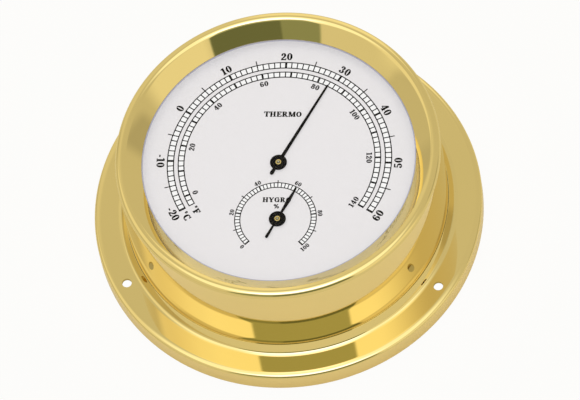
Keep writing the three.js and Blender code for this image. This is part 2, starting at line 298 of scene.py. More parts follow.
def lathe_coords(tree):
    """Radius, turn and height, so that a noise on them gives the marks left by turning."""
    coords = tree.nodes.new("ShaderNodeTexCoord")
    split = tree.nodes.new("ShaderNodeSeparateXYZ")
    tree.links.new(coords.outputs["Object"], split.inputs[0])
    square_x = math_node(tree, "MULTIPLY", split.outputs["X"], split.outputs["X"])
    square_y = math_node(tree, "MULTIPLY", split.outputs["Y"], split.outputs["Y"])
    total = math_node(tree, "ADD", square_x, square_y)
    r = math_node(tree, "SQRT", total)
    turn = math_node(tree, "ARCTAN2", split.outputs["Y"], split.outputs["X"])
    slow_turn = math_node(tree, "MULTIPLY", turn, MARK_SLIP)
    join = tree.nodes.new("ShaderNodeCombineXYZ")
    tree.links.new(r, join.inputs["X"])
    tree.links.new(slow_turn, join.inputs["Y"])
    tree.links.new(split.outputs["Z"], join.inputs["Z"])
    return join.outputs[0]


def math_node(tree, operation, a, b=None):
    """Sum on one or two values, each a socket or a number."""
    node = tree.nodes.new("ShaderNodeMath")
    node.operation = operation
    for socket, value in zip(node.inputs, (a, b)):
        if value is None:
            continue
        if isinstance(value, (int, float)):
            socket.default_value = value
        else:
            tree.links.new(value, socket)
    return node.outputs[0]


def ramp(tree, factor, low, high, low_at=0.3, high_at=0.7):
    node = tree.nodes.new("ShaderNodeValToRGB")
    for element, colour, at in zip(node.color_ramp.elements, (low, high), (low_at, high_at)):
        element.color = (*colour, 1)
        element.position = at
    tree.links.new(factor, node.inputs["Fac"])
    return node.outputs["Color"]


def noise(tree, vector, scale, detail=3.0):
    node = add_node(tree, "ShaderNodeTexNoise", Scale=scale, Detail=detail)
    tree.links.new(vector, node.inputs["Vector"])
    return node.outputs["Fac"]


def spread(tree, factor, low, high):
    node = add_node(tree, "ShaderNodeMapRange", To_Min=low, To_Max=high)
    tree.links.new(factor, node.inputs["Value"])
    return node.outputs["Result"]


def bump(tree, height, shader, strength):
    node = add_node(tree, "ShaderNodeBump", Strength=strength, Distance=MARK_DEPTH)
    tree.links.new(height, node.inputs["Height"])
    tree.links.new(node.outputs["Normal"], shader.inputs["Normal"])


def turned_metal(name, light, dark, smooth, rough, mark):
    """Metal with faint marks from turning, which its roughness and bump follow."""
    material, tree, shader = new_material(name)
    coords = lathe_coords(tree)
    cloud = tree.nodes.new("ShaderNodeTexCoord").outputs["Object"]
    shader.inputs["Metallic"].default_value = 1.0
    fine = noise(tree, coords, MARK_SIZE, 4.0)
    broad = noise(tree, cloud, CLOUD_SIZE, 2.0)
    tree.links.new(ramp(tree, broad, dark, light), shader.inputs["Base Color"])
    tree.links.new(spread(tree, fine, smooth, rough), shader.inputs["Roughness"])
    bump(tree, fine, shader, mark)
    return material


def painted(name, light, dark, rough, scale, grain=0.05, shine=0.5, glow=0.0):
    """Paint, plastic or rubber with a fine grain; glow is painted light: the paint shines by itself,
    fully to the camera and less on what it lights, to lift the shade inside the case.
    """
    material, tree, shader = new_material(name)
    coords = tree.nodes.new("ShaderNodeTexCoord").outputs["Object"]
    grains = noise(tree, coords, scale, 5.0)
    colour = ramp(tree, grains, dark, light)
    tree.links.new(colour, shader.inputs["Base Color"])
    tree.links.new(colour, shader.inputs["Emission Color"])
    # Painted light: a glow that lifts the shade under the rim, stronger for the camera than for what it
    # lights.
    if glow:
        path = tree.nodes.new("ShaderNodeLightPath")
        lift = spread(tree, path.outputs["Is Camera Ray"], glow * GLOW_MIRRORED, glow)
        tree.links.new(lift, shader.inputs["Emission Strength"])
    low, high = (rough * share for share in ROUGH_RANGE)
    tree.links.new(spread(tree, grains, low, high), shader.inputs["Roughness"])
    shader.inputs["Specular IOR Level"].default_value = shine
    bump(tree, grains, shader, grain)
    return material


def clear_glass():
    """Thin flat glass: what is behind shows through, and a little of the room is mirrored."""
    material, tree, shader = new_material("clear_glass")
    tree.nodes.remove(shader)
    clear = add_node(tree, "ShaderNodeBsdfTransparent", Color=GLASS_TINT)
    mirror = add_node(tree, "ShaderNodeBsdfGlossy", Color=(1, 1, 1, 1))
    coords = tree.nodes.new("ShaderNodeTexCoord").outputs["Object"]
    tree.links.new(spread(tree, noise(tree, coords, 40.0), 0.0, 0.03), mirror.inputs["Roughness"])
    facing = add_node(tree, "ShaderNodeLayerWeight", Blend=0.5).outputs["Facing"]
    grazing = math_node(tree, "POWER", facing, 3.0)
    amount = spread(tree, grazing, *GLASS_MIRROR)
    mix = tree.nodes.new("ShaderNodeMixShader")
    tree.links.new(amount, mix.inputs["Fac"])
    tree.links.new(clear.outputs[0], mix.inputs[1])
    tree.links.new(mirror.outputs[0], mix.inputs[2])
    tree.links.new(mix.outputs[0], tree.nodes["Material Output"].inputs["Surface"])
    return material


BRASS = turned_metal(
    "polished_brass", (0.935, 0.785, 0.425), (0.91, 0.765, 0.41), smooth=0.02, rough=0.05, mark=0.03
)
PLAIN_BRASS = turned_metal(
    "plain_brass", (0.78, 0.6, 0.28), (0.7, 0.52, 0.24), smooth=0.22, rough=0.4, mark=0.2
)
STEEL = turned_metal(
    "bright_steel", (0.72, 0.73, 0.75), (0.6, 0.61, 0.63), smooth=0.15, rough=0.3, mark=0.15
)
BIMETAL = turned_metal(
    "bimetal", (0.6, 0.55, 0.5), (0.5, 0.46, 0.42), smooth=0.3, rough=0.45, mark=0.2
)
HYGRO_STRIP = turned_metal(
    "hygro_strip", (0.75, 0.62, 0.36), (0.64, 0.52, 0.3), smooth=0.35, rough=0.5, mark=0.2
)
# The dial, its white cells and the spacer are a grey of their own; a painted glow makes them look white
# and takes away the shade under the rim.
DIAL_PAINT = painted(
    "dial_paint", (0.308, 0.3, 0.304), (0.302, 0.294, 0.298), rough=0.5, scale=900.0, glow=1.68
)
CELL_WHITE = painted(
    "cell_white", (0.365, 0.365, 0.365), (0.355, 0.355, 0.355), rough=0.5, scale=900.0, glow=1.65
)
WHITE_PLASTIC = painted(
    "spacer_plastic", (0.304, 0.297, 0.302), (0.298, 0.291, 0.296), rough=0.5, scale=900.0, glow=1.65
)
INK = painted(
    "dial_ink", (0.005, 0.005, 0.006), (0.002, 0.002, 0.003), rough=0.5, scale=1500.0, shine=0.05
)
BLACK = painted(
    "pointer_lacquer", (0.005, 0.005, 0.007), (0.002, 0.002, 0.004), rough=0.3, scale=700.0, shine=0.08
)
# Grey-lavender seal: its tongue is the painted line of shade at the window's edge.
SHADE_LINE_RUBBER = painted("seal_rubber_shade_line", (0.46, 0.46, 0.56), (0.4, 0.4, 0.5), rough=0.6, scale=1200.0, grain=0.1)
GAUZE = painted("gauze", (0.16, 0.15, 0.13), (0.05, 0.05, 0.045), rough=0.8, scale=2500.0, grain=0.8)
GLASS = clear_glass()

# ---------------------------------------------------------------- case


def flange_outline():
    """Rounded outer edge, flat face, and a collar that slopes up to the drum."""
    under = FLANGE_FLAT - SHEET
    flat_in, flat_out = FLANGE_FLAT_R
    ease_in, ease_out = FLANGE_EASE_R
    ease = math.radians(FLANGE_EASE)
    outer_start = flat_out + ease_out * math.sin(ease)
    edge = (FLANGE_R - outer_start) / (1 - math.sin(ease))
    edge_z = FLANGE_FLAT - ease_out * (1 - math.cos(ease)) - edge * math.cos(ease)
    foot = FLANGE_FOOT_ROUND
    outline = Outline(FLANGE_R - SHEET + FLANGE_FOOT_BEVEL, 0)
    outline.arc((FLANGE_R - foot, foot), foot, -90, 0, 4)
    outline.arc((FLANGE_R - edge, edge_z), edge, 0, 90 - FLANGE_EASE, 12)
    outline.arc((flat_out, FLANGE_FLAT - ease_out), ease_out, 90 - FLANGE_EASE, 90, 6)
    outline.arc((flat_in, FLANGE_FLAT + ease_in), ease_in, 270, 270 - FLANGE_EASE, 6)
    turn_r = flat_in - (ease_in - COLLAR_FILLET) * math.sin(ease)
    turn_z = FLANGE_FLAT + ease_in - (ease_in - COLLAR_FILLET) * math.cos(ease)
    outline.arc((turn_r, turn_z), COLLAR_FILLET, 270 - FLANGE_EASE, 270 - COLLAR_SLOPE, 10)
    slope_r, slope_z = outline.last
    mouth = DRUM_R + COLLAR_GAP
    rise = (slope_r - mouth - COLLAR_LIP) * math.tan(math.radians(COLLAR_SLOPE))
    outline.line(mouth + COLLAR_LIP, slope_z + rise).line(mouth, slope_z + rise)
    outline.line(mouth, FLANGE_FLAT).line(WELL_R, FLANGE_FLAT - WELL_DROP)
    outline.line(WELL_R, SHELF_TOP).line(SHELF_R, SHELF_TOP).line(SHELF_R, SHELF_TOP - SHEET)
    outline.line(WELL_R + SHEET, SHELF_TOP - SHEET).line(WELL_R + SHEET, under)
    inside = FLANGE_UNDER_ROUND
    outline.arc((FLANGE_R - SHEET - inside, under - inside), inside, 90, 0, 4)
    outline.line(FLANGE_R - SHEET, FLANGE_FOOT_BEVEL)
    return outline.close()


def rod_mesh(x, y, size, low, high):
    outline = Outline(0, low).line(size, low).line(size, high).line(0, high)
    return turned_mesh("rod", outline, ROD_ROUND, (x, y))


def make_flange():
    outline = flange_outline()
    cutters = []
    for angle in HOLE_ANGLES:
        x = HOLE_PITCH_R * math.cos(math.radians(angle))
        y = HOLE_PITCH_R * math.sin(math.radians(angle))
        cutters.append(rod_mesh(x, y, HOLE_R, FLANGE_FLAT - 3, FLANGE_FLAT + 3))
    mesh = cut_with(turned_mesh("flange", outline, ROUND), cutters)
    smooth_turned(mesh, outline)
    finish_piece("flange", mesh, BRASS, "case", ["flange_ring"])


def drum_outline():
    """Tall wall, rounded corner, round crown, and a cone from the crown down to the window."""
    corner = math.radians(RIM_EDGE_END)
    step = CROWN - RIM_EDGE
    crown_at = (DRUM_R - RIM_EDGE - step * math.cos(corner), RIM_TOP - CROWN)
    corner_at = (DRUM_R - RIM_EDGE, crown_at[1] + step * math.sin(corner))
    # The cone bulges a little: one wide arc that meets the crown smoothly and ends at the window.
    foot = math.radians(CONE_FOOT_SLOPE)
    reach = np.array(crown_at) - (WINDOW_R, WINDOW_TOP)
    lean = np.array((math.sin(foot), -math.cos(foot)))
    sweep = (reach @ reach - CROWN**2) / (2 * (reach @ lean - CROWN))
    cone_at = lean * sweep + (WINDOW_R, WINDOW_TOP)
    towards_crown = crown_at - cone_at
    meet = math.degrees(math.atan2(towards_crown[1], towards_crown[0]))
    outline = Outline(DRUM_FOOT_R, DRUM_FOOT)
    bend = DRUM_FOOT_ROUND
    outline.arc((DRUM_R - bend, DRUM_FOOT + bend), bend, -90, 0, 4)
    outline.arc(corner_at, RIM_EDGE, 0, RIM_EDGE_END, 8)
    outline.arc(crown_at, CROWN, RIM_EDGE_END, meet, 20)
    outline.arc(cone_at, sweep, meet, 90 + CONE_FOOT_SLOPE, 8)
    outline.line(WINDOW_R, WINDOW_UNDER).line(WINDOW_R + WINDOW_LEDGE, WINDOW_UNDER)
    outline.line(crown_at[0] - WINDOW_LEDGE, RIM_TOP - 1.7 * SHEET)
    outline.line(crown_at[0], RIM_TOP - SHEET).line(DRUM_R - SHEET, RIM_TOP - 2 * SHEET)
    outline.line(DRUM_R - SHEET, DRUM_FOOT_TOP).line(DRUM_FOOT_R, DRUM_FOOT_TOP)
    return outline.close()


def make_drum():
    mesh = turned_mesh("drum", drum_outline(), ROUND)
    finish_piece("drum", mesh, BRASS, "case", ["case_drum"])


def ring_outline(inner, outer, low, high, edge):
    """Flat ring with rounded corners."""
    outline = Outline(inner + edge, low)
    outline.arc((outer - edge, low + edge), edge, -90, 0, 4)
    outline.arc((outer - edge, high - edge), edge, 0, 90, 4)
    outline.arc((inner + edge, high - edge), edge, 90, 180, 4)
    outline.arc((inner + edge, low + edge), edge, 180, 270, 4)
    return outline.close()


def disc_outline(size, low, high, edge):
    outline = Outline(0, low)
    outline.arc((size - edge, low + edge), edge, -90, 0, 4)
    outline.arc((size - edge, high - edge), edge, 0, 90, 4)
    return outline.line(0, high)


def make_glass():
    low, high = bottom("front_glass"), top("front_glass")
    outline = disc_outline(radius("front_glass"), low, high, edge=0.15)
    mesh = turned_mesh("glass", outline, ROUND)
    finish_piece("glass", mesh, GLASS, "case", ["front_glass"])


def make_seal():
    """Seal round the glass, with a thin grey-lavender tongue that shows at the edge of the window as a
    painted line of shade.
    """
    outer, low, high = radius("glass_gasket"), bottom("glass_gasket"), top("glass_gasket")
    bore = radius("front_glass") + SEAL_FIT
    tip = WINDOW_R - TONGUE_SHOWS
    tongue_low, tongue_high = top("front_glass") + TONGUE_GAP, WINDOW_UNDER - TONGUE_GAP
    outline = Outline(bore, low).line(outer, low).line(outer, high).line(bore, high)
    outline.line(bore, tongue_high).line(tip, tongue_high)
    outline.line(tip, tongue_low).line(bore, tongue_low)
    mesh = turned_mesh("seal", outline.close(), ROUND)
    finish_piece("seal", mesh, SHADE_LINE_RUBBER, "case", ["glass_gasket"])


def make_spacer():
    low, high = bottom("dial_spacer"), top("dial_spacer")
    outline = ring_outline(SPACER_BORE_R, radius("dial_spacer"), low, high, edge=0.15)
    mesh = turned_mesh("spacer", outline, ROUND)
    finish_piece("spacer", mesh, WHITE_PLASTIC, "case", ["dial_spacer"])


def make_dial():
    low = bottom("dial_plate")
    outline = disc_outline(radius("dial_plate"), low, DIAL_TOP, edge=0.1)
    arbors = (THERMO_ARBOR, HYGRO_ARBOR)
    holes = [rod_mesh(x, y, ARBOR_HOLE_R, low - 1, DIAL_TOP + 1) for x, y in arbors]
    mesh = cut_with(turned_mesh("dial", outline, ROUND), holes)
    smooth_turned(mesh, outline)
    finish_piece("dial", mesh, DIAL_PAINT, "case", ["dial_plate"])


# ---------------------------------------------------------------- printing on the dial

CELL_PRINT = 0.01  # thickness of the white cells
INK_PRINT = 0.03
PRINT_LIFT = 0.004


class Print:
    """Flat closed strips laid on the dial, gathered into one mesh."""

    def __init__(self, thick):
        self.low = DIAL_TOP + PRINT_LIFT
        self.high = self.low + thick
        self.verts = []
        self.faces = []

    def strip(self, left, right, closed=False):
        """Closed slab between two rows of points; left is on the left of the way along."""
        first, n = len(self.verts), len(left)
        for row, z in ((left, self.high), (right, self.high), (left, self.low), (right, self.low)):
            self.verts += [(x * MM, y * MM, z * MM) for x, y in row]
        top_l, top_r, low_l, low_r = (first + k * n for k in range(4))
        for i in range(n if closed else n - 1):
            j = (i + 1) % n
            self.faces.append((top_l + i, top_r + i, top_r + j, top_l + j))
            self.faces.append((low_l + i, low_l + j, low_r + j, low_r + i))
            self.faces.append((top_l + i, top_l + j, low_l + j, low_l + i))
            self.faces.append((top_r + i, low_r + i, low_r + j, top_r + j))
        if not closed:
            self.faces.append((top_l, low_l, low_r, top_r))
            end = n - 1
            self.faces.append((top_l + end, top_r + end, low_r + end, low_l + end))

    def mesh(self, name):
        mesh = bpy.data.meshes.new(name)
        mesh.from_pydata(self.verts, [], self.faces)
        return mesh


def dial_point(centre, r, angle):
    """Point at a clockwise angle in degrees from the top of the dial."""
    turn = math.radians(angle)
    return (centre[0] + r * math.sin(turn), centre[1] + r * math.cos(turn))


def band(sheet, centre, inner, outer, start, stop, step=1.0):
    """Part of a ring, between two clockwise angles."""
    count = max(1, round(abs(stop - start) / step))
    angles = np.linspace(start, stop, count + 1)
    left = [dial_point(centre, outer, a) for a in angles]
    right = [dial_point(centre, inner, a) for a in angles]
    sheet.strip(left, right)


def tick(sheet, centre, angle, inner, outer, width):
    """Radial mark of even width."""
    turn = math.radians(angle)
    out = np.array([math.sin(turn), math.cos(turn)])
    side = np.array([math.cos(turn), -math.sin(turn)]) * width / 2
    middle = np.array(centre)
    ends = [middle + out * inner, middle + out * outer]
    sheet.strip([tuple(p - side) for p in ends], [tuple(p + side) for p in ends])


def ladder(ink, cells, centre, ring, half_sweep, count, line, bold, bold_every, bold_first=0):
    """Scale drawn as a ring of cells, with a bold mark now and then."""
    inner, outer = ring
    band(cells, centre, inner, outer, -half_sweep, half_sweep)
    for r in ring:
        band(ink, centre, r - line / 2, r + line / 2, -half_sweep, half_sweep)
    for i in range(count + 1):
        angle = -half_sweep + 2 * half_sweep * i / count
        width = bold if i % bold_every == bold_first else line
        tick(ink, centre, angle, inner - line / 2, outer + line / 2, width)


# ---------------------------------------------------------------- letters and figures

# Each sign is drawn with a broad pen between a foot line at 0 and a head line at 1, from 0 to the
# right, and says how wide it is. Upright strokes are thick and level strokes are thin.


class Pen:
    """Draws strokes on a sheet; place turns a point of the sign into a point of the dial."""

    def __init__(self, sheet, thick, thin, place):
        self.sheet, self.thick, self.thin, self.place = sheet, thick, thin, place

    def bar(self, x0, y0, x1, y1, width, width_end=None):
        """Straight stroke between two points."""
        width_end = width if width_end is None else width_end
        length = math.hypot(x1 - x0, y1 - y0)
        sx, sy = -(y1 - y0) / length / 2, (x1 - x0) / length / 2
        left = [(x0 + sx * width, y0 + sy * width), (x1 + sx * width_end, y1 + sy * width_end)]
        right = [(x0 - sx * width, y0 - sy * width), (x1 - sx * width_end, y1 - sy * width_end)]
        self.sheet.strip([self.place(*p) for p in left], [self.place(*p) for p in right])

    def oval(self, x, y, half_w, half_h, start=0, stop=360):
        """Round stroke inside an oval, clockwise from start when stop is less, in degrees."""
        whole = abs(stop - start) >= 360
        count = max(6, round(abs(stop - start) / 12))
        angles = np.radians(np.linspace(start, stop, count + 1))
        if whole:
            angles = angles[:-1]
        ring = [(math.cos(a), math.sin(a)) for a in angles]
        outer = [self.place(x + half_w * c, y + half_h * s) for c, s in ring]
        in_w, in_h = half_w - self.thick, half_h - self.thin
        inner = [self.place(x + in_w * c, y + in_h * s) for c, s in ring]
        if stop > start:
            outer, inner = inner, outer
        self.sheet.strip(outer, inner, closed=whole)

    def ball(self, x, y, size):
        count = 12
        angles = [2 * math.pi * i / count for i in range(count)]
        ring = [(x + size * math.cos(a), y + size * math.sin(a)) for a in angles]
        top_half = ring[: count // 2 + 1]
        low_half = [ring[-i % count] for i in range(count // 2 + 1)]
        self.sheet.strip([self.place(*p) for p in low_half], [self.place(*p) for p in top_half])

    def stem(self, x, low=0.0, high=1.0):
        """Thick upright stroke."""
        self.bar(x, low, x, high, self.thick)

    def serif(self, x, y, half):
        """Thin stroke across the foot or the head of a stem."""
        edge = self.thin / 2
        y = y + edge if y < 0.5 else y - edge
        self.bar(x - half, y, x + half, y, self.thin)


def figure_0(p):
    p.oval(0.35, 0.5, 0.35, 0.5)
    return 0.7


def figure_1(p):
    p.stem(0.32)
    p.serif(0.32, 0, 0.25)
    p.bar(0.05, 0.82, 0.3, 0.96, p.thin * 1.2)
    return 0.58


def figure_2(p):
    p.oval(0.34, 0.7, 0.31, 0.3, 150, -30)
    p.bar(0.52, 0.58, 0.09, 0.12, p.thick * 0.75, p.thin * 1.5)
    p.bar(0.04, 0.085, 0.62, 0.085, 0.17)
    p.bar(0.62, 0.02, 0.65, 0.3, p.thin)
    p.ball(0.16, 0.73, 0.13)
    return 0.68


def figure_3(p):
    p.oval(0.3, 0.745, 0.31, 0.255, 140, -90)
    p.oval(0.28, 0.265, 0.36, 0.265, 90, -150)
    p.ball(0.14, 0.78, 0.12)
    p.ball(0.12, 0.21, 0.13)
    return 0.66


def figure_4(p):
    p.stem(0.47)
    p.serif(0.47, 0, 0.23)
    p.bar(0.44, 0.97, 0.04, 0.3, p.thin * 1.3)
    p.bar(0.01, 0.29, 0.72, 0.29, p.thin * 1.2)
    return 0.73


def figure_5(p):
    p.bar(0.12, 0.48, 0.12, 1.0, p.thin * 1.2)
    p.bar(0.09, 0.91, 0.57, 0.91, 0.18)
    p.oval(0.28, 0.32, 0.36, 0.32, 128, -150)
    p.ball(0.12, 0.21, 0.13)
    return 0.66


def figure_6(p):
    p.oval(0.37, 0.5, 0.35, 0.5, 58, 250)
    p.oval(0.37, 0.31, 0.34, 0.31)
    p.ball(0.54, 0.82, 0.11)
    return 0.72


def figure_8(p):
    p.oval(0.35, 0.75, 0.31, 0.25)
    p.oval(0.35, 0.28, 0.35, 0.28)
    return 0.7


def sign_minus(p):
    p.bar(0.04, 0.36, 0.34, 0.36, 0.17)
    return 0.4


def sign_degree(p):
    p.bar(0.02, 0.98, 0.22, 0.98, p.thin)
    p.bar(0.02, 0.72, 0.22, 0.72, p.thin)
    p.bar(0.04, 0.69, 0.04, 1.01, p.thin)
    p.bar(0.22, 0.69, 0.22, 1.01, p.thin)
    return 0.34


def sign_percent(p):
    p.oval(0.26, 0.74, 0.25, 0.26)
    p.oval(0.86, 0.26, 0.25, 0.26)
    p.bar(0.82, 1.0, 0.28, 0.0, p.thin * 1.3)
    return 1.12


def letter_c(p):
    p.oval(0.43, 0.5, 0.42, 0.5, 48, 312)
    p.bar(0.72, 0.66, 0.72, 1.0, p.thin * 1.3)
    p.bar(0.72, 0.0, 0.72, 0.3, p.thin)
    return 0.8


def letter_f(p):
    p.stem(0.26)
    p.serif(0.26, 0, 0.24)
    p.serif(0.38, 1, 0.36)
    p.bar(0.72, 0.68, 0.74, 1.0, p.thin * 1.3)
    p.bar(0.26, 0.5, 0.56, 0.5, p.thin)
    p.bar(0.55, 0.36, 0.55, 0.64, p.thin * 1.3)
    return 0.8


def letter_t(p):
    p.stem(0.44)
    p.serif(0.44, 0, 0.22)
    p.serif(0.44, 1, 0.42)
    p.bar(0.05, 1.0, 0.03, 0.68, p.thin * 1.3)
    p.bar(0.83, 1.0, 0.85, 0.68, p.thin * 1.3)
    return 0.88


def letter_h(p):
    for x in (0.24, 0.8):
        p.stem(x)
        p.serif(x, 0, 0.22)
        p.serif(x, 1, 0.22)
    p.bar(0.24, 0.5, 0.8, 0.5, p.thin)
    return 1.04


def letter_e(p):
    p.stem(0.26)
    p.serif(0.4, 0, 0.38)
    p.serif(0.4, 1, 0.38)
    p.bar(0.26, 0.51, 0.56, 0.51, p.thin)
    p.bar(0.77, 0.0, 0.8, 0.32, p.thin * 1.3)
    p.bar(0.74, 0.7, 0.76, 1.0, p.thin * 1.3)
    p.bar(0.56, 0.37, 0.56, 0.65, p.thin * 1.3)
    return 0.86


def letter_r(p):
    p.stem(0.25)
    p.serif(0.25, 0, 0.22)
    p.serif(0.24, 1, 0.2)
    p.bar(0.25, 1 - p.thin / 2, 0.48, 1 - p.thin / 2, p.thin)
    p.bar(0.25, 0.49, 0.48, 0.49, p.thin)
    p.oval(0.46, 0.735, 0.36, 0.265, 90, -90)
    p.bar(0.52, 0.48, 0.78, 0.05, p.thick * 0.9)
    p.bar(0.72, p.thin / 2, 1.0, p.thin / 2, p.thin)
    return 1.0


def letter_m(p):
    p.bar(0.16, 0, 0.16, 1, p.thin * 1.3)
    p.stem(1.0)
    p.serif(0.16, 0, 0.15)
    p.serif(0.13, 1, 0.12)
    p.serif(1.0, 0, 0.21)
    p.serif(1.03, 1, 0.18)
    p.bar(0.25, 0.98, 0.56, 0.04, p.thick * 0.95)
    p.bar(0.58, 0.04, 0.94, 0.98, p.thin * 1.2)
    return 1.22


def letter_o(p):
    p.oval(0.46, 0.5, 0.46, 0.5)
    return 0.92


def letter_y(p):
    p.stem(0.48, 0, 0.48)
    p.serif(0.48, 0, 0.22)
    p.bar(0.19, 0.97, 0.47, 0.42, p.thick * 0.95)
    p.bar(0.84, 0.97, 0.52, 0.44, p.thin * 1.3)
    p.serif(0.2, 1, 0.2)
    p.serif(0.82, 1, 0.15)
    return 0.96


def letter_g(p):
    p.oval(0.45, 0.5, 0.44, 0.5, 48, 312)
    p.bar(0.75, 0.68, 0.75, 1.0, p.thin * 1.3)
    p.stem(0.76, 0.04, 0.44)
    p.serif(0.76, 0.48, 0.2)
    return 0.98


SIGNS = {  # a star stands for the degree sign
    "0": figure_0, "1": figure_1, "2": figure_2, "3": figure_3, "4": figure_4, "5": figure_5,
    "6": figure_6, "8": figure_8, "-": sign_minus, "*": sign_degree, "%": sign_percent,
    "C": letter_c, "F": letter_f, "T": letter_t, "H": letter_h, "E": letter_e, "R": letter_r,
    "M": letter_m, "O": letter_o, "Y": letter_y, "G": letter_g,
}


def write(sheet, text, centre, height, turn, thick, thin=0.1, spacing=0.07):
    """Prints a text about its middle, turned anticlockwise by a number of degrees."""
    # Each sign is drawn once on a spare sheet, only to find how wide it is.
    spare = Pen(Print(INK_PRINT), thick, thin, lambda x, y: (x, y))
    widths = [SIGNS[sign](spare) for sign in text]
    total = sum(widths) + spacing * (len(text) - 1)
    cos, sin = math.cos(math.radians(turn)), math.sin(math.radians(turn))
    start = -total / 2
    for sign, width in zip(text, widths):

        def place(x, y, start=start):
            u = (start + x) * height
            v = (y - 0.5) * height
            return (centre[0] + u * cos - v * sin, centre[1] + u * sin + v * cos)

        SIGNS[sign](Pen(sheet, thick, thin, place))
        start += width + spacing


def write_round(sheet, text, centre, r_and_height, angle, thick, **more):
    """Prints a text on a circle, its tops outward above the middle and inward below."""
    r, height = r_and_height
    turn = -angle if abs(angle) < 90 else 180 - angle
    write(sheet, text, dial_point(centre, r, angle), height, turn, thick, **more)


THERMO_SCALE = (-0.1, 1.1)  # the middles of the printed scales
HYGRO_SCALE = (0.0, -24.1)
CELSIUS_TOP = 20  # the reading at the top of the dial
HALF_SWEEP = 120.9
PER_CELSIUS = HALF_SWEEP / 40
HYGRO_HALF_SWEEP = 135.5
CELSIUS_RING = (40.6, 43.0)
FAHRENHEIT_RING = (36.6, 38.8)
HYGRO_RING = (13.6, 15.6)
CELSIUS_FIGURES = (45.6, 3.1)  # how far from the scale's middle they stand, and how high they are
CELSIUS_SIGN = (42.0, 2.8)
FAHRENHEIT_FIGURES = (34.4, 2.2)
FAHRENHEIT_SIGN = (37.6, 2.6)
HYGRO_FIGURES = (17.1, 1.75)
UNIT_ANGLE = HALF_SWEEP + 4.6  # where the unit signs stand, beyond the cold end
THERMO_LINE = 0.42
THERMO_TICK = 2.0
HYGRO_LINE = 0.36
HYGRO_TICK = 1.1
FIGURE_THICK = 0.27  # strokes, as shares of a sign's height
LETTER_THICK = 0.3
LETTER_THIN = 0.13


def celsius_angle(c):
    return (c - CELSIUS_TOP) * PER_CELSIUS


def fahrenheit_angle(f):
    return celsius_angle((f - 32) / 1.8)


def humidity_angle(h):
    return (h - 50) * 2 * HYGRO_HALF_SWEEP / 100


def print_thermo(ink, cells):
    """Celsius scale outside, Fahrenheit scale inside."""
    at = THERMO_SCALE
    ladder(ink, cells, at, CELSIUS_RING, HALF_SWEEP, 80, THERMO_LINE, bold=0.85, bold_every=10)
    for c in range(-15, 60, 10):
        outer = CELSIUS_RING[1]
        tick(ink, at, celsius_angle(c), outer, outer + THERMO_TICK, width=0.4)
    for c in range(-20, 61, 10):
        write_round(ink, str(c), at, CELSIUS_FIGURES, celsius_angle(c), FIGURE_THICK)
    ladder(ink, cells, at, FAHRENHEIT_RING, HALF_SWEEP, 72, THERMO_LINE, bold=0.75, bold_every=5,
           bold_first=2)
    for f in range(0, 141, 20):
        write_round(ink, str(f), at, FAHRENHEIT_FIGURES, fahrenheit_angle(f), FIGURE_THICK)
    write_round(ink, "*C", at, CELSIUS_SIGN, -UNIT_ANGLE, LETTER_THICK, thin=LETTER_THIN)
    write_round(ink, "*F", at, FAHRENHEIT_SIGN, -UNIT_ANGLE, LETTER_THICK, thin=LETTER_THIN)
    write(ink, "THERMO", (0, 21.4), height=2.3, turn=0, thick=LETTER_THICK, thin=LETTER_THIN)


def print_hygro(ink, cells):
    """Small scale of relative humidity."""
    at = HYGRO_SCALE
    ladder(ink, cells, at, HYGRO_RING, HYGRO_HALF_SWEEP, 50, HYGRO_LINE, bold=0.62, bold_every=10)
    for h in range(10, 91, 20):
        outer = HYGRO_RING[1]
        tick(ink, at, humidity_angle(h), outer, outer + HYGRO_TICK, width=HYGRO_LINE)
    for h in range(0, 101, 20):
        write_round(ink, str(h), at, HYGRO_FIGURES, humidity_angle(h), FIGURE_THICK)
    write(ink, "HYGRO", (0, -15.9), height=2.1, turn=0, thick=LETTER_THICK, thin=LETTER_THIN)
    write(ink, "%", (0, -18.7), height=1.9, turn=0, thick=0.2, thin=0.15)


def make_printing():
    ink, cells = Print(INK_PRINT), Print(CELL_PRINT)
    print_thermo(ink, cells)
    print_hygro(ink, cells)
    finish_piece("scale_printing", ink.mesh("scale_printing"), INK, "case")
    finish_piece("scale_cells", cells.mesh("scale_cells"), CELL_WHITE, "case")


# ---------------------------------------------------------------- pointers

TAIL_STEPS = 12
BLADE_THICK = 0.28
BLADE_LIFT = 0.15  # the blade lies this far above the foot of its hub
BLADE_EDGE = 0.05
HUB_R = 3.25
HUB_BORE_R = 1.12
HUB_EDGE = 0.22
PIPE_R = 1.1
PIPE_BORE_R = 0.62
PIPE_EDGE = 0.12
PIPE_DROP = 0.2  # how far the pipe goes down below the hub


def slab_mesh(name, outline, low, high, edge):
    """Flat plate with bevelled edges, from one closed outline."""
    build = bmesh.new()
    lower = [build.verts.new((x * MM, y * MM, low * MM)) for x, y in outline]
    upper = [build.verts.new((x * MM, y * MM, high * MM)) for x, y in outline]
    build.faces.new(lower[::-1])
    build.faces.new(upper)
    for i in range(len(outline)):
        j = (i + 1) % len(outline)
        build.faces.new((lower[i], lower[j], upper[j], upper[i]))
    rims = [e for e in build.edges if abs(e.verts[0].co.z - e.verts[1].co.z) < TINY]
    bmesh.ops.bevel(build, geom=rims, offset=edge * MM, segments=2, profile=0.5, affect="EDGES")
    bmesh.ops.recalc_face_normals(build, faces=build.faces)
    mesh = bpy.data.meshes.new(name)
    build.to_mesh(mesh)
    build.free()
    mesh.polygons.foreach_set("use_smooth", [True] * len(mesh.polygons))
    mesh.set_sharp_from_angle(angle=math.radians(35))
    return mesh


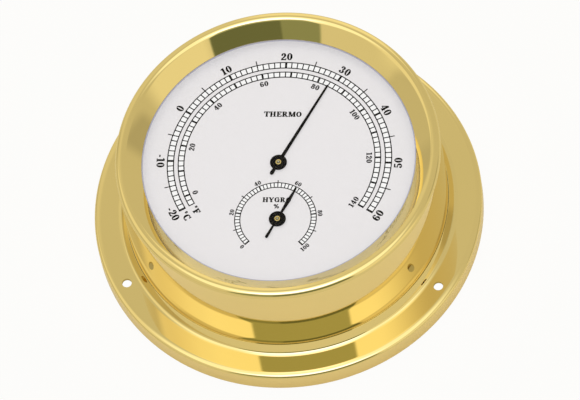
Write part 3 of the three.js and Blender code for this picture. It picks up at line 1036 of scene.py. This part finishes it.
def blade_outline(right_side, tail_y, tail_r, turn, centre):
    """Pointer blade: its right side from tail to tip is mirrored, and the tail is round."""
    left_side = [(-x, y) for x, y in reversed(right_side)]
    tail = []
    for i in range(1, TAIL_STEPS):
        a = math.radians(180 + 180 * i / TAIL_STEPS)
        tail.append((tail_r * math.cos(a), tail_y + tail_r * math.sin(a)))
    cos, sin = math.cos(math.radians(turn)), math.sin(math.radians(turn))
    shape = [*right_side, *left_side, *tail]
    return [(centre[0] + x * cos - y * sin, centre[1] + x * sin + y * cos) for x, y in shape]


# The right side of each blade runs from tail to tip, as if it pointed up; tail is the middle and
# radius of its round end, and turn says how many degrees anticlockwise it stands from the top.
POINTERS = {
    "thermo": {
        "side": [(0.78, -5.2), (0.6, -2.5), (0.66, 3), (0.4, 37.6), (0.2, 38)],
        "tail": (-5.2, 0.72),
        "turn": -26.4,
        "at": THERMO_ARBOR,
    },
    "hygro": {
        "side": [(0.58, -8.5), (0.35, -2.5), (0.42, 2.5), (0.72, 8.2), (0.66, 9.4), (0.28, 14.8)],
        "tail": (-8.5, 0.58),
        "turn": -25.4,
        "at": HYGRO_ARBOR,
    },
}


def make_pointer(name, shape):
    """Blade, hub and brass pipe of one pointer; they turn together."""
    body = f"{name}_pointer_set"
    low, high = bottom(f"{name}_pointer"), top(f"{name}_pointer")
    blade_low = low + BLADE_LIFT
    tail_y, tail_r = shape["tail"]
    outline = blade_outline(shape["side"], tail_y, tail_r, shape["turn"], shape["at"])
    blade = slab_mesh(f"{name}_blade", outline, blade_low, blade_low + BLADE_THICK, BLADE_EDGE)
    finish_piece(f"{name}_blade", blade, BLACK, body, [f"{name}_pointer"])
    hub = ring_outline(HUB_BORE_R, HUB_R, low, high, HUB_EDGE)
    hub_mesh = turned_mesh(f"{name}_hub", hub, SMALL_ROUND, shape["at"])
    finish_piece(f"{name}_hub", hub_mesh, BLACK, body, [f"{name}_pointer"])
    pipe_top = top(f"{name}_pointer_pipe")
    pipe = ring_outline(PIPE_BORE_R, PIPE_R, low - PIPE_DROP, pipe_top, PIPE_EDGE)
    pipe_mesh = turned_mesh(f"{name}_pipe", pipe, SMALL_ROUND, shape["at"])
    finish_piece(f"{name}_pipe", pipe_mesh, BRASS, body, [f"{name}_pointer_pipe"])


# ---------------------------------------------------------------- inside and back

SLOT_MATERIALS = {
    "plain_brass": PLAIN_BRASS,
    "steel": STEEL,
    "bimetal": BIMETAL,
    "hygro_strip": HYGRO_STRIP,
    "gauze": GAUZE,
    "polished_brass": BRASS,
}


def dress_cad_nodes():
    """Gives every CAD node that stays in sight the material of its slot."""
    slots = {s["node"]: s["material_slot"] for s in frame["record"]["subparts"]}
    for name, node in frame["nodes"].items():
        if node.hide_render:
            continue
        node.data.materials.clear()
        node.data.materials.append(SLOT_MATERIALS[slots[name]])


# ---------------------------------------------------------------- studio

VIEW_TURN = 13.574  # where the camera stands: degrees round the instrument from its foot
VIEW_RISE = 60.856  # degrees above the floor
VIEW_DISTANCE = 3.0866  # metres
VIEW_ROLL = -11.427
AIM_RIGHT = 0.00119  # the camera aims a little beside the instrument's foot, in metres
AIM_UP = 0.00577
LENS = 496.55
SENSOR = 36
CLIP = (0.1, 20)  # the camera sees from here to there, in metres

FLOOR_HALF = 4.0  # metres
FLOOR_NEAR = (0.81, 0.73, 0.51)
FLOOR_FAR = (0.66, 0.6, 0.38)
FLOOR_FADE = (0.076, 0.11)  # metres from the middle where one turns into the other
FLOOR_WHITE = 0.93  # how much of the floor's own light the camera sees
# Glowing sheet under the flange: painted light that keeps the screw holes bright where the flange
# shades the floor.
GLOW_SHEET_R = (60.0, 73.3)
GLOW_SHEET_LIFT = 0.4
GLOW_SHEET_MIRRORED = (0.4, 0.33, 0.14)


def towards(turn, rise):
    """Unit vector to a place, in degrees round from the dial's foot and above the floor."""
    a, e = math.radians(turn), math.radians(rise)
    return Vector((math.sin(a) * math.cos(e), -math.cos(a) * math.cos(e), math.sin(e)))


def make_camera():
    """Telephoto camera that stands in front of the instrument's foot and looks down on it."""
    back = towards(VIEW_TURN, VIEW_RISE)
    right = Vector((0, 0, 1)).cross(back).normalized()
    up = back.cross(right)
    place = back * VIEW_DISTANCE
    aim = right * AIM_RIGHT + up * AIM_UP
    look = (aim - place).normalized()
    right = look.cross(up).normalized()
    up = right.cross(look)
    roll = math.radians(VIEW_ROLL)
    x = right * math.cos(roll) + up * math.sin(roll)
    y = up * math.cos(roll) - right * math.sin(roll)
    camera = bpy.data.cameras.new("camera")
    camera.sensor_width = SENSOR
    camera.lens = LENS
    camera.clip_start, camera.clip_end = CLIP
    holder = bpy.data.objects.new("camera", camera)
    bpy.context.scene.collection.objects.link(holder)
    turn = Matrix((x, y, -look)).transposed().to_4x4()
    holder.matrix_world = Matrix.Translation(place) @ turn
    bpy.context.scene.camera = holder


def stage_mesh(name, corners, faces, material):
    """Something that belongs to the studio, not to the instrument."""
    mesh = bpy.data.meshes.new(name)
    mesh.from_pydata(corners, [], faces)
    thing = bpy.data.objects.new(name, mesh)
    bpy.context.scene.collection.objects.link(thing)
    mesh.materials.append(material)


def floor_material():
    """Pale floor. The camera sees it close to white; the brass mirrors it as it is lit."""
    material, tree, shader = new_material("floor_paint")
    coords = tree.nodes.new("ShaderNodeTexCoord").outputs["Object"]
    away = tree.nodes.new("ShaderNodeVectorMath")
    away.operation = "LENGTH"
    tree.links.new(coords, away.inputs[0])
    dimmer = ramp(tree, away.outputs["Value"], FLOOR_NEAR, FLOOR_FAR, *FLOOR_FADE)
    tree.links.new(dimmer, shader.inputs["Base Color"])
    shader.inputs["Roughness"].default_value = 0.9
    shader.inputs["Specular IOR Level"].default_value = 0.0
    white = add_node(tree, "ShaderNodeEmission", Color=(1, 1, 1, 1), Strength=1.0)
    path = tree.nodes.new("ShaderNodeLightPath")
    mix = tree.nodes.new("ShaderNodeMixShader")
    share = math_node(tree, "MULTIPLY", path.outputs["Is Camera Ray"], FLOOR_WHITE)
    tree.links.new(share, mix.inputs["Fac"])
    tree.links.new(shader.outputs[0], mix.inputs[1])
    tree.links.new(white.outputs[0], mix.inputs[2])
    tree.links.new(mix.outputs[0], tree.nodes["Material Output"].inputs["Surface"])
    return material


def make_floor():
    half = FLOOR_HALF
    corners = [(x * half, y * half, 0) for x, y in ((-1, -1), (1, -1), (1, 1), (-1, 1))]
    stage_mesh("floor", corners, [(0, 1, 2, 3)], floor_material())


def paper_material():
    """Painted light: glows white to the camera, and a dimmer tan when the brass mirrors it."""
    material, tree, shader = new_material("glow_sheet")
    tree.nodes.remove(shader)
    glow = add_node(tree, "ShaderNodeEmission", Strength=1.0)
    path = tree.nodes.new("ShaderNodeLightPath")
    seen = ramp(tree, path.outputs["Is Camera Ray"], GLOW_SHEET_MIRRORED, (1, 1, 1))
    tree.links.new(seen, glow.inputs["Color"])
    tree.links.new(glow.outputs[0], tree.nodes["Material Output"].inputs["Surface"])
    return material


def make_paper_ring():
    """Glowing sheet under the flange, painted light that shows bright through the screw holes where the
    flange shades the floor.
    """
    corners, faces = [], []
    for i in range(ROUND):
        turn = 2 * math.pi * i / ROUND
        for r in GLOW_SHEET_R:
            corners.append((r * math.cos(turn) * MM, r * math.sin(turn) * MM, GLOW_SHEET_LIFT * MM))
        j = (i + 1) % ROUND
        faces.append((2 * i, 2 * i + 1, 2 * j + 1, 2 * j))
    stage_mesh("glow_sheet_ring", corners, faces, paper_material())


def window(tree, value, low, high, edge):
    """1 between low and high, 0 outside, with soft edges."""
    masks = []
    for at, sign in ((low, 1), (high, -1)):
        node = add_node(tree, "ShaderNodeMapRange", From_Min=at - sign * edge / 2,
                        From_Max=at + sign * edge / 2)
        node.interpolation_type = "SMOOTHSTEP"
        tree.links.new(value, node.inputs["Value"])
        masks.append(node.outputs["Result"])
    return math_node(tree, "MULTIPLY", *masks)


def mix_colours(tree, share, under, over):
    """Mixes two colours, each a socket or three numbers; share says how much of the second."""
    mix = tree.nodes.new("ShaderNodeMix")
    mix.data_type = "RGBA"
    tree.links.new(share, mix.inputs["Factor"])
    for socket, colour in zip(mix.inputs[6:8], (under, over)):
        if isinstance(colour, tuple):
            socket.default_value = (*colour, 1)
        else:
            tree.links.new(colour, socket)
    return mix.outputs[2]


def paint_panel(tree, colour, turn, rise, panel):
    """Lays a soft-edged panel of the light tent over what is there."""
    turns, rises, edge, paint = panel
    across = window(tree, turn, *turns, edge)
    upward = window(tree, rise, *rises, edge)
    return mix_colours(tree, math_node(tree, "MULTIPLY", across, upward), colour, paint)


def in_degrees(tree, angle):
    return math_node(tree, "MULTIPLY", angle, 180 / math.pi)


def paint_lamp(tree, colour, where):
    """Lays the rings of the overhead lamp box over what is there."""
    dot = tree.nodes.new("ShaderNodeVectorMath")
    dot.operation = "DOT_PRODUCT"
    tree.links.new(where, dot.inputs[0])
    dot.inputs[1].default_value = towards(*LAMP_AT)
    angle = in_degrees(tree, math_node(tree, "ARCCOSINE", dot.outputs["Value"]))
    for outer, inner, level, blue in LAMP_RINGS:
        node = add_node(tree, "ShaderNodeMapRange", From_Min=outer, From_Max=inner)
        node.interpolation_type = "SMOOTHSTEP"
        tree.links.new(angle, node.inputs["Value"])
        paint = (level * LAMP_RED, level, level * blue)
        colour = mix_colours(tree, node.outputs["Result"], colour, paint)
    return colour


def warm(level):
    """Light of the tent at some brightness."""
    return (1.1 * level, level, 0.64 * level)


# Panels of the light tent: turns round from the dial's foot, rises above the floor, softness of the
# edges, all in degrees, and what they shine.
TENT_BASE = 0.57
LAMP_AT = (0, 80)  # the overhead lamp box
TENT_PANELS = [
    ((-150, -55), (-90, 26), 14, warm(0.48)),  # left, low
    ((-185, -128), (4, 57), 14, warm(0.68)),  # behind left
    ((-190, -166), (-90, 46), 8, warm(0.88)),  # straight behind
    ((164, 190), (-90, 46), 8, warm(0.9)),
    ((-80, -28), (16, 60), 10, warm(0.66)),  # left of the camera
    ((42, 88), (6, 53), 12, warm(0.8)),  # right of the camera
    ((-122, -70), (28, 76), 16, warm(0.82)),  # left, high
    ((-115, -78), (-5, 24), 8, warm(0.55)),  # dark corner on the left
    ((98, 118), (3, 26), 8, warm(0.43)),  # and on the right
]
LAMP_RINGS = [(34, 24, 1.15, 0.74), (18, 9, 1.8, 1.35)]  # outer and inner angle, light, share of blue
LAMP_RED = 1.03
DOME = (1.1, 1.1, 1.1)  # what lights everything that isn't shiny
CAMERA_GAP = [  # the dark space round the camera, each panel darker than the one before
    ((-29.5, 41.5), (24, 65), 3.0, (0.42, 0.44, 0.25)),
    ((-29.5, 41.5), (24, 50), 2.5, (0.27, 0.29, 0.15)),
    ((-5, 41.5), (24, 48), 2.0, (0.15, 0.165, 0.08)),
]


def make_light():
    """A light tent for the brass to mirror, and even light for everything that isn't shiny."""
    world = bpy.data.worlds.new("studio")
    world.use_nodes = True
    bpy.context.scene.world = world
    tree = world.node_tree
    where = tree.nodes.new("ShaderNodeTexCoord").outputs["Generated"]
    split = tree.nodes.new("ShaderNodeSeparateXYZ")
    tree.links.new(where, split.inputs[0])
    south = math_node(tree, "MULTIPLY", split.outputs["Y"], -1.0)
    turn = in_degrees(tree, math_node(tree, "ARCTAN2", split.outputs["X"], south))
    rise = in_degrees(tree, math_node(tree, "ARCSINE", split.outputs["Z"]))
    base = tree.nodes.new("ShaderNodeRGB")
    base.outputs[0].default_value = (*warm(TENT_BASE), 1)
    colour = base.outputs[0]
    for panel in TENT_PANELS:
        colour = paint_panel(tree, colour, turn, rise, panel)
    colour = paint_lamp(tree, colour, where)
    for panel in CAMERA_GAP:
        colour = paint_panel(tree, colour, turn, rise, panel)
    mirrored = tree.nodes.new("ShaderNodeLightPath").outputs["Is Glossy Ray"]
    back = tree.nodes["Background"]
    tree.links.new(mix_colours(tree, mirrored, DOME, colour), back.inputs["Color"])
    back.inputs["Strength"].default_value = 1.0


def set_view():
    """Shows the colours as they are lit, with no film curve."""
    view = bpy.context.scene.view_settings
    view.view_transform = "Standard"
    view.look = "None"
    view.exposure = 0
    view.gamma = 1


make_camera()
make_flange()
make_drum()
make_glass()
make_seal()
make_spacer()
make_dial()
make_printing()
for pointer_name, pointer_shape in POINTERS.items():
    make_pointer(pointer_name, pointer_shape)
dress_cad_nodes()
make_floor()
make_paper_ring()
make_light()
set_view()
